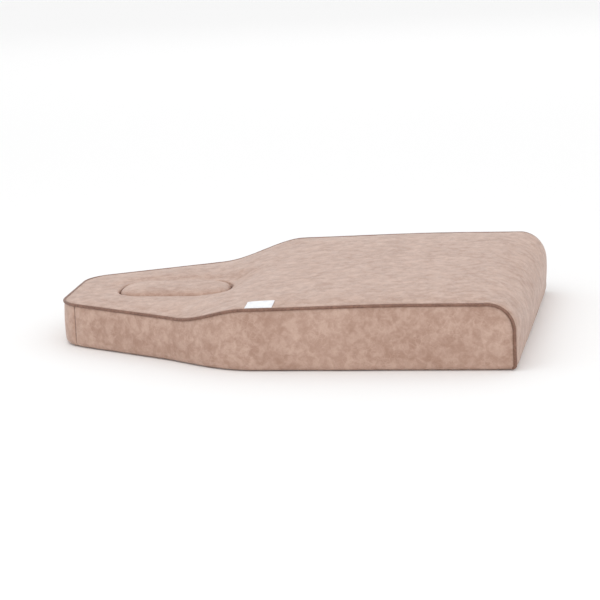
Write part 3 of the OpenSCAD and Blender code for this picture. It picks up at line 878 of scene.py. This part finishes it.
# ---------------------------------------------------------------- the opening's liner
def slot_outline(grow, count):
    """Points evenly round the face opening's outline, grown all round, with outward normals."""
    r = OPEN_R + grow
    hx, hy = OPEN_L / 2 + grow - r, OPEN_W / 2 + grow - r
    pts, nor = [], []
    for qx, qy, a0 in ((1, 1, 0), (-1, 1, 90), (-1, -1, 180), (1, -1, 270)):
        for a in np.radians(np.linspace(a0, a0 + 90, 40)):
            pts.append((OPEN_S + qx * hx + r * math.cos(a), qy * hy + r * math.sin(a)))
            nor.append((math.cos(a), math.sin(a)))
    pts.append(pts[0])
    nor.append(nor[0])
    pts, nor = np.array(pts), np.array(nor)
    run = np.concatenate([[0], np.cumsum(np.linalg.norm(np.diff(pts, axis=0), axis=1))])
    u = np.linspace(0, run[-1], count, endpoint=False)
    keepers = np.concatenate([[True], np.diff(run) > 1e-9])
    p = np.column_stack([np.interp(u, run[keepers], pts[keepers, k]) for k in (0, 1)])
    n = np.column_stack([np.interp(u, run[keepers], nor[keepers, k]) for k in (0, 1)])
    return p, n / np.linalg.norm(n, axis=1)[:, None]


SLEEVE_OUT, SLEEVE_FOOT = 0.25, 5.0    # the sleeve's stand-off from the opening, and its foot's rounding
ring, ring_n = slot_outline(0.0, 200)
near_rim = [int(np.argmin(np.hypot(rim_edge[:, 0] - TIP_X - x, rim_edge[:, 1] - y))) for x, y in ring]
upper = rim_edge[near_rim, 2] + 0.4
layers = []
for v in np.linspace(0, 1, 13):
    zz = upper + (DUST_T + SLEEVE_FOOT - upper) * v
    inward = (0.5 * noise(np.column_stack([ring, zz]) * (1, 1, 0.35), 24, 31) + 0.15) * math.sin(math.pi * v)
    off = SLEEVE_OUT + np.clip(-inward, -0.5, 1.2)
    layers.append(placed(ring + off[:, None] * ring_n, zz))
for f in np.radians([22, 45, 68, 90]):
    off = SLEEVE_OUT + SLEEVE_FOOT * (1 - math.cos(f))
    layers.append(placed(ring + off * ring_n, DUST_T + SLEEVE_FOOT * (1 - math.sin(f))))
for off in np.linspace(SLEEVE_OUT + SLEEVE_FOOT, 26, 7)[1:]:
    layers.append(placed(ring + off * ring_n, DUST_T))
liner = make("opening_sleeve", np.vstack(layers), grid_faces(len(layers), len(ring), wrap=True), cover_side,
             down_under(1))
skin(liner)
finish_piece(liner, "pad", ["opening_liner"])


# ---------------------------------------------------------------- foams
FOAM_SHRINK = 0.6
RISER_FOOT = 47.8                   # the height from which the foams follow the top when it is drawn down


def foam_piece(name, node, body, material, voxel, trim=None):
    """The foam's own cut shape with its edges eased, as a hot wire and glue leave it."""
    o = frame["nodes"][node].copy()
    o.data = o.data.copy()
    o.parent = None
    o.name = name
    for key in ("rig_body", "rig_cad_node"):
        if key in o:
            del o[key]
    bpy.context.scene.collection.objects.link(o)
    bpy.context.view_layer.objects.active = o
    m = o.modifiers.new("remesh", "REMESH")
    m.mode, m.voxel_size = "VOXEL", voxel / 1000
    bpy.ops.object.modifier_apply(modifier=m.name)
    m = o.modifiers.new("ease", "SMOOTH")
    m.factor, m.iterations = 0.5, 3
    bpy.ops.object.modifier_apply(modifier=m.name)
    co = read(o.data.vertices, "co") * 1000
    co -= read(o.data.vertices, "normal") * (FOAM_SHRINK + 0.15 * noise(co, 8, 41))[:, None]
    if trim is not None:
        co = trim(co)
    o.data.vertices.foreach_set("co", (co / 1000).ravel())
    o.data.update()
    o.data.polygons.foreach_set("use_smooth", np.ones(len(o.data.polygons), bool))
    o.data.materials.clear()
    o.data.materials.append(material)
    finish_piece(o, body, [node])


def drawn_down(co):
    """The upper foams follow the top where it is drawn down beside the opening."""
    share = np.clip((co[:, 2] - RISER_FOOT) / (top_z(co[:, 0] - TIP_X) - RISER_FOOT), 0, 1)
    co[:, 2] -= share * dip(co[:, 0] - TIP_X, co[:, 1])
    return co


foam_piece("foam_slab", "foam_base", "pad", firm_foam, 5.0)
foam_piece("foam_wedge", "foam_riser", "pad", firm_foam, 5.0, trim=drawn_down)
foam_piece("foam_soft_layer", "foam_comfort_layer", "pad", soft_foam, 5.0, trim=drawn_down)
foam_piece("plug_foam_core", "plug_foam", "plug", firm_foam, 3.0)

# The edging foam is one closed strip round the board, its lower outer corner eased under the cover
board_inset = box_mm("base_board")[0][0] - TIP_X
board_z0, board_z1 = box_mm("base_board")[0][2], box_mm("base_board")[1][2]
section = [(COVER_T + 0.2, board_z1), (COVER_T + 0.2, 10.4), (COVER_T + 1.0, 6.8), (COVER_T + 2.8, 4.0),
           (COVER_T + 5.0, 2.5), (board_inset - 0.1, board_z0 + 0.3), (board_inset - 0.1, board_z1)]


def closed_outline(inset):
    """The whole plan outline, drawn in, with the hinge end closed."""
    p, _ = half_outline(inset)
    p = np.vstack([p[:-1], [LENGTH - inset, HALF_W - inset]])
    steps = np.linspace(HALF_W - inset, -(HALF_W - inset), 90)[1:-1]
    back = np.column_stack([np.full(len(steps), LENGTH - inset), steps])
    return np.vstack([p, back, p[:0:-1] * (1, -1)])


layers = [placed(closed_outline(inset), zz) for inset, zz in section]
across, last = len(layers[0]), len(layers[0]) * (len(layers) - 1)
faces = grid_faces(len(layers), across, wrap=True)
faces += [(last + j, last + (j + 1) % across, (j + 1) % across, j) for j in range(across)]
edging = make("edge_foam", np.vstack(layers), faces, soft_foam)
finish_piece(edging, "pad", ["edge_foam_strip"])


# ---------------------------------------------------------------- dust cover
DUST_INSET, DUST_MARGIN, ACCESS_R = 14.0, 12.0, 6.0
dust_outline, _ = half_outline(DUST_INSET)
dust_outline = dust_outline[dust_outline[:, 0] <= LENGTH - DUST_INSET]


def dust_width(s):
    return np.interp(s, dust_outline[20:, 0], dust_outline[20:, 1])


# The tee nuts' middles: their points gathered into groups that lie within 30 mm
centres = []
for q in read(frame["nodes"]["tee_nuts"].data.vertices, "co")[:, :2] * 1000:
    for c in centres:
        if np.hypot(*(q - c[0])) < 30:
            c[1].append(q)
            break
    else:
        centres.append([q, [q]])
centres = [(np.min(c[1], axis=0) + np.max(c[1], axis=0)) / 2 for c in centres]
OPEN_END = OPEN_S + OPEN_L / 2 + 16
stations = np.unique(np.round(np.concatenate([
    DUST_INSET + np.array([0, 0.8, 2, 3.6, 5.8, 8.6, 12, 16, 21, 27]),
    np.arange(DUST_INSET + 33, OPEN_END - 4, 7), np.arange(OPEN_END, LENGTH - DUST_INSET - 3, 7),
    [LENGTH - DUST_INSET]]), 3))
grid = PlanGrid(stations, dust_width, offsets=np.array([0, 1.5, 4, 8, 14]), pitch=7.5)
grid.hole((OPEN_S, 0.0), lambda s, y: slot_distance(s, y, DUST_MARGIN),
          (OPEN_S - OPEN_L / 2 - 20, OPEN_END, -OPEN_W / 2 - 36, OPEN_W / 2 + 36), rings=4)
for c in centres:
    cs, cy = c[0] - TIP_X, c[1]
    grid.hole((cs, cy), lambda s, y: np.hypot(s - cs, y - cy) - ACCESS_R,
              (cs - 13.8, cs + 14, cy - 13, cy + 13), rings=3)
sy, faces = grid.done()


def stretched_cloth(name, verts, faces, body, node):
    """A sheet stapled flat to a board."""
    ob = make(name, verts, faces, non_woven_mat, facing(-1.0))
    m = ob.modifiers.new("thickness", "SOLIDIFY")
    m.thickness, m.offset = SHEET_T, -1
    finish_piece(ob, body, [node])


sag = np.clip(0.16 + 0.06 * noise(sy, 60, 51), 0.02, 0.3)
stretched_cloth("dust_cloth", placed(sy, sag), faces, "pad", "dust_cover")


# ---------------------------------------------------------------- label
L_W, L_H = 42.0, 30.0
lab_lo, lab_hi = box_mm("blank_label")
L_S = (lab_lo[0] + lab_hi[0]) / 2 - TIP_X
bpy.context.view_layer.update()
top_done = top_cover.evaluated_get(bpy.context.evaluated_depsgraph_get())
rows, cols = 17, 25
verts = []
for i in range(rows):
    for j in range(cols):
        v, u = i / (rows - 1), j / (cols - 1)
        s = L_S - L_W / 2 + L_W * u
        yy = -float(half_width(L_S)) + 2.4 + L_H * v
        hit, at, _, _ = top_done.ray_cast(Vector(((TIP_X + s) / 1000, yy / 1000, 0.2)), Vector((0, 0, -1)))
        base = at.z * 1000 if hit else float(top_z(s))
        # the free edge, away from the seam, lifts a little
        lift = 0.65 + 2.4 * v**2.4 * (0.75 + 0.25 * math.sin(3 * u)) + 0.18 * math.sin(5 * u + 2 * v) * v
        verts.append((TIP_X + s, yy, base + lift))
label = make("label_tab", verts, grid_faces(rows, cols), label_mat, facing(1.0))
skin(label, 0.45)
finish_piece(label, "pad", ["blank_label"])


# ---------------------------------------------------------------- plug cushion
PLUG_R, PLUG_FOOT_R = 5.4, 2.2      # the rounding of its upper and lower edges
SLACK = 0.6                         # the sewn plug stands back a little from its full size
FLANGE_TO = 22.0                    # how far in the band is turned under
CLOTH_IN = 8.0                      # how far the bottom cloth stands in from the plug's outline
ring_count = 160
outer, outer_n = slot_outline(-PLUG_GAP, ring_count)


def filled_rings(insets, steps=9):
    """Rings inwards from the plug's outline, then closing on its middle, and their faces."""
    rings = [outer - outer_n * (i + SLACK) for i in insets]
    centre = np.array([OPEN_S, 0.0])
    for f in np.linspace(0, 1, steps + 1)[1:-1]:
        rings.append(rings[len(insets) - 1] * (1 - f) + centre * f)
    p = np.vstack(rings + [centre[None]])
    last = ring_count * (len(rings) - 1)
    faces = grid_faces(len(rings), ring_count, wrap=True)
    faces += [(last + j, last + (j + 1) % ring_count, len(p) - 1) for j in range(ring_count)]
    return p, faces


p, faces = filled_rings([0, 0.25, 0.7, 1.4, 2.3, 3.4, 4.8, 6.6, 9, 12])
inset_of = np.maximum(-slot_distance(p[:, 0], p[:, 1]) - PLUG_GAP - SLACK, 0)
q = np.clip(inset_of, 0, PLUG_R)
drop = PLUG_R - np.sqrt(np.clip(PLUG_R**2 - (PLUG_R - q) ** 2, 0, None))
crown = 4.1 * (1 - np.exp(-inset_of / 5.0)) + 0.8 * smooth(inset_of / 50)
crown += 0.35 * noise(p, 38, 61) * smooth(inset_of / 14)
crown += 0.3 * noise(p, 12, 62) * np.exp(-inset_of / 9) * np.clip(inset_of / 3, 0, 1)
verts = placed(p, PLUG_TOP - drop + crown)
if plug_swell is not None:
    d = plug_swell.at(placed(p, PLUG_TOP - COVER_T), 6.0)
    verts[:, 2] += d[:, 2] * smooth((inset_of - 3) / 14) * 0.5
plug_top = make("plug_top_cover", verts, faces, cover_top, facing(1.0))
skin(plug_top)
finish_piece(plug_top, "plug", ["plug_top_panel"])

layers = []
z1, z0 = PLUG_TOP - PLUG_R - 0.1, PLUG_FLOOR + DUST_T + PLUG_FOOT_R
for v in np.linspace(0, 1, 10):
    zz = z1 + (z0 - z1) * v
    ripple = noise(np.column_stack([outer, np.full(ring_count, zz)]), 30, 71)
    off = 0.5 * math.sin(math.pi * v) * (1 + 0.6 * ripple) - SLACK
    layers.append(placed(outer + off[:, None] * outer_n, zz))
for f in np.radians([22, 45, 68, 90]):
    off = -SLACK - PLUG_FOOT_R * (1 - math.cos(f))
    layers.append(placed(outer + off * outer_n, z0 - PLUG_FOOT_R * math.sin(f)))
for f in np.linspace(0, 1, 6)[1:]:
    off = (-SLACK - PLUG_FOOT_R) * (1 - f) - FLANGE_TO * f
    layers.append(placed(outer + off * outer_n, PLUG_FLOOR + DUST_T))
band = make("plug_band", np.vstack(layers), grid_faces(len(layers), ring_count, wrap=True), cover_side,
            down_under(PLUG_FLOOR + 1))
skin(band)
finish_piece(band, "plug", ["plug_side_band"])

p, faces = filled_rings(CLOTH_IN + np.array([0, 1.0, 3.0, 7.0, 14.0]), 6)
stretched_cloth("plug_bottom_cloth", placed(p, PLUG_FLOOR + 0.12 + 0.06 * noise(p, 35, 81)), faces, "plug",
                "plug_bottom_cover")


# ---------------------------------------------------------------- floor, light and camera
floor_mat = Nodes("floor")
floor_mat.shade(Base_Color=(0.93, 0.93, 0.93, 1.0), Roughness=0.75, Specular_IOR_Level=0.2)
me = bpy.data.meshes.new("floor")
me.from_pydata([(-12, -12, 0), (12, -12, 0), (12, 12, 0), (-12, 12, 0)], [], [(0, 1, 2, 3)])
floor = bpy.data.objects.new("floor", me)
bpy.context.scene.collection.objects.link(floor)
me.materials.append(floor_mat.material)

world = bpy.data.worlds.new("studio")
bpy.context.scene.world = world
world.use_nodes = True
world.node_tree.nodes["Background"].inputs["Color"].default_value = (1.0, 1.0, 1.0, 1.0)
world.node_tree.nodes["Background"].inputs["Strength"].default_value = 1.0


def softbox(name, at, aim, size, power):
    """A soft rectangular light, aimed at a point."""
    d = bpy.data.lights.new(name, "AREA")
    d.shape, d.size, d.size_y, d.energy = "RECTANGLE", size[0], size[1], power
    o = bpy.data.objects.new(name, d)
    bpy.context.scene.collection.objects.link(o)
    o.location = at
    o.rotation_euler = (Vector(aim) - Vector(at)).to_track_quat("-Z", "Y").to_euler()


softbox("key", (-0.6, -1.2, 2.6), (0, 0, 0), (2.2, 1.6), 10)
softbox("front", (0.9, -3.2, 1.5), (0, 0, 0.05), (2.4, 1.2), 8)
softbox("back", (-0.4, 4.2, 1.5), (0, 0, 0.05), (3.2, 0.9), 5)

camera_data = bpy.data.cameras.new("camera")
camera_data.lens, camera_data.sensor_width = 165, 36
camera = bpy.data.objects.new("camera", camera_data)
bpy.context.scene.collection.objects.link(camera)
camera.location = (0.747, -4.289, 0.967)
# The photograph was taken square to the whole bed, so its long lines stay level.
# A small roll keeps them level here.
aim = (Vector((0.0, 0.0, 0.05)) - camera.location).to_track_quat("-Z", "Y")
camera.rotation_euler = (aim @ Quaternion((0, 0, 1), math.radians(-2.5))).to_euler()
camera_data.clip_start, camera_data.clip_end = 0.05, 60
bpy.context.scene.camera = camera
bpy.context.scene.view_settings.view_transform = "Standard"
